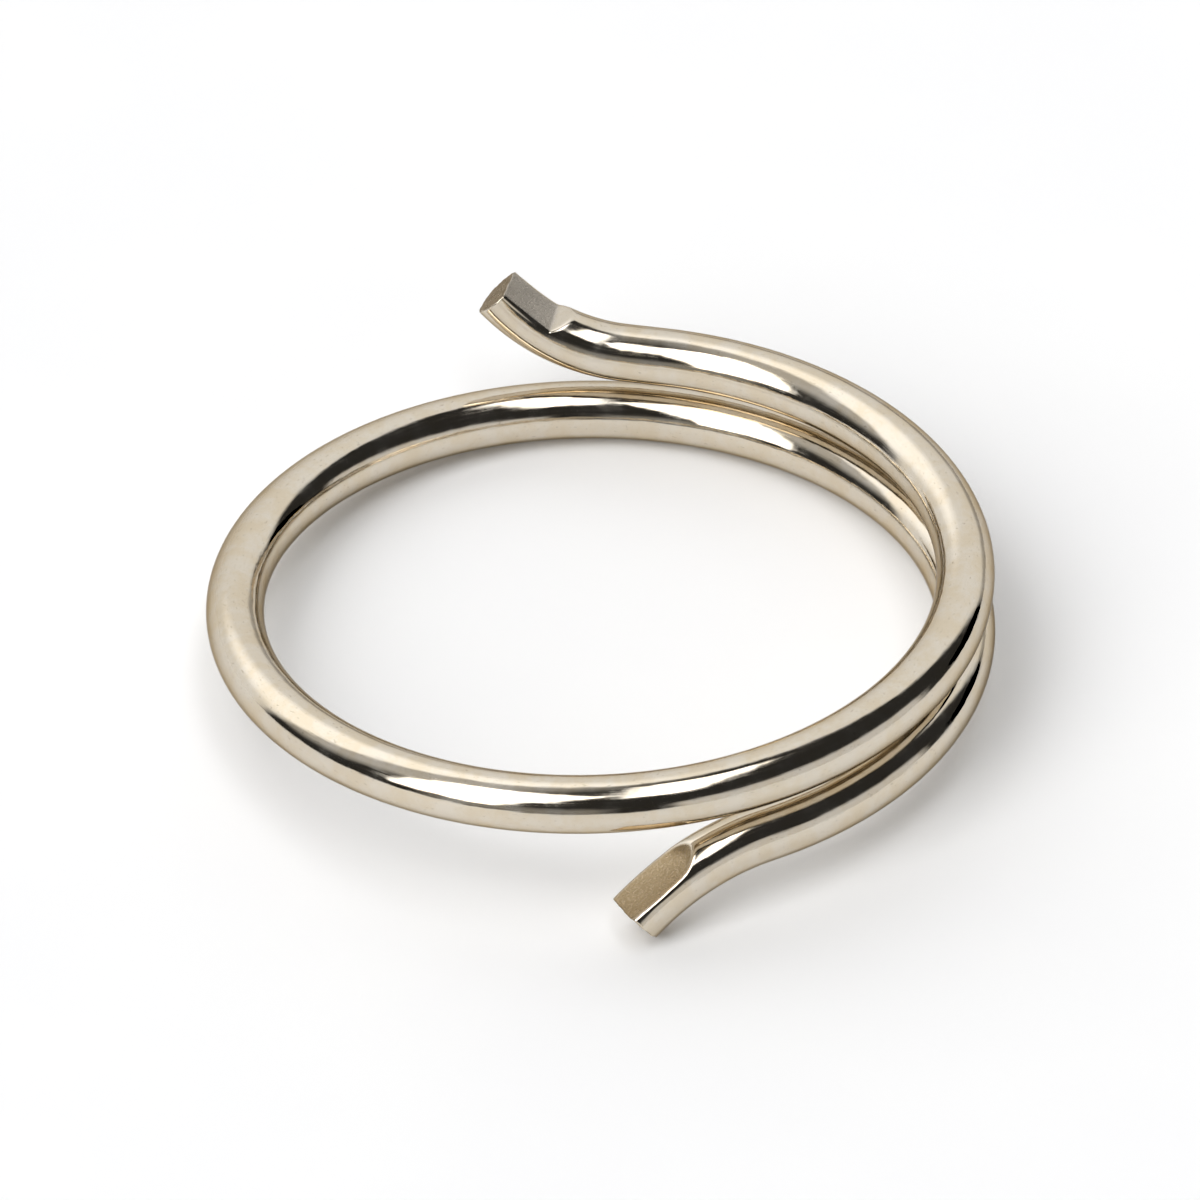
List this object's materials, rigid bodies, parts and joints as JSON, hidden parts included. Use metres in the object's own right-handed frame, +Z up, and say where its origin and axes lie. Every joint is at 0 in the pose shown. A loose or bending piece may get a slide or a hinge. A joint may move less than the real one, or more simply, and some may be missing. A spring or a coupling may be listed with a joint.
{
  "type": "split key ring",
  "caption": "Round-wire split key ring: an overlapping loop that springs open between its turns, with a pressed, kinked tab on each splayed end.",
  "frame": {"origin": "on the table under the middle of the ring, at the centre of the footprint of the ring as it lies on its lower tab", "axes": "+Z up from the table; the ring's own axis leans from it by 5.7 degrees towards +Y, about X; +X through the middle of the doubled half; the upper tab lies towards +Y and the lower tab towards -Y"},
  "size_m": [0.025, 0.0276, 0.0055],
  "materials": {
    "bright_nickel": "bright nickel plate on drawn spring-steel wire, warm tint, faint drawing lines",
    "pressed_nickel": "satin nickel plate over die-pressed flats, with a rough sheared end"
  },
  "bodies": {
    "lower_end": {"lower_tab": "pressed_nickel", "lower_leg": "bright_nickel", "lower_turn_1": "bright_nickel", "lower_turn_2": "bright_nickel", "lower_turn_3": "bright_nickel", "lower_turn_4": "bright_nickel", "lower_turn_5": "bright_nickel", "rising_turn_1": "bright_nickel"},
    "rising_1": {"rising_turn_2": "bright_nickel", "rising_turn_3": "bright_nickel", "rising_turn_4": "bright_nickel"},
    "rising_2": {"rising_turn_5": "bright_nickel", "rising_turn_6": "bright_nickel", "rising_turn_7": "bright_nickel"},
    "upper_end": {"rising_turn_8": "bright_nickel", "upper_turn": "bright_nickel", "upper_leg": "bright_nickel", "upper_tab": "pressed_nickel"}
  },
  "joints": [
    {"name": "wire_twist_1", "type": "hinge", "parent": "lower_end", "child": "rising_1", "pos_m": [-0.01158, -0.00009, 0.0027], "axis": [0, -0.9915, 0.13], "range_deg": [0, 2.65]},
    {"name": "ring_opening", "type": "hinge", "parent": "rising_1", "child": "rising_2", "pos_m": [0, -0.01155, 0.0044], "axis": [0.9995, 0.003, 0.0301], "range_deg": [0, 4.8], "stiffness_Nm_per_rad": 5.1},
    {"name": "wire_twist_3", "type": "hinge", "parent": "rising_2", "child": "upper_end", "pos_m": [0.01158, 0.00002, 0.00379], "axis": [0, 0.9976, -0.0699], "range_deg": [0, 2.65]}
  ],
  "couplings": [
    {"joint": "wire_twist_1", "follows": "ring_opening", "ratio": 0.55246},
    {"joint": "wire_twist_3", "follows": "ring_opening", "ratio": 0.55246}
  ]
}
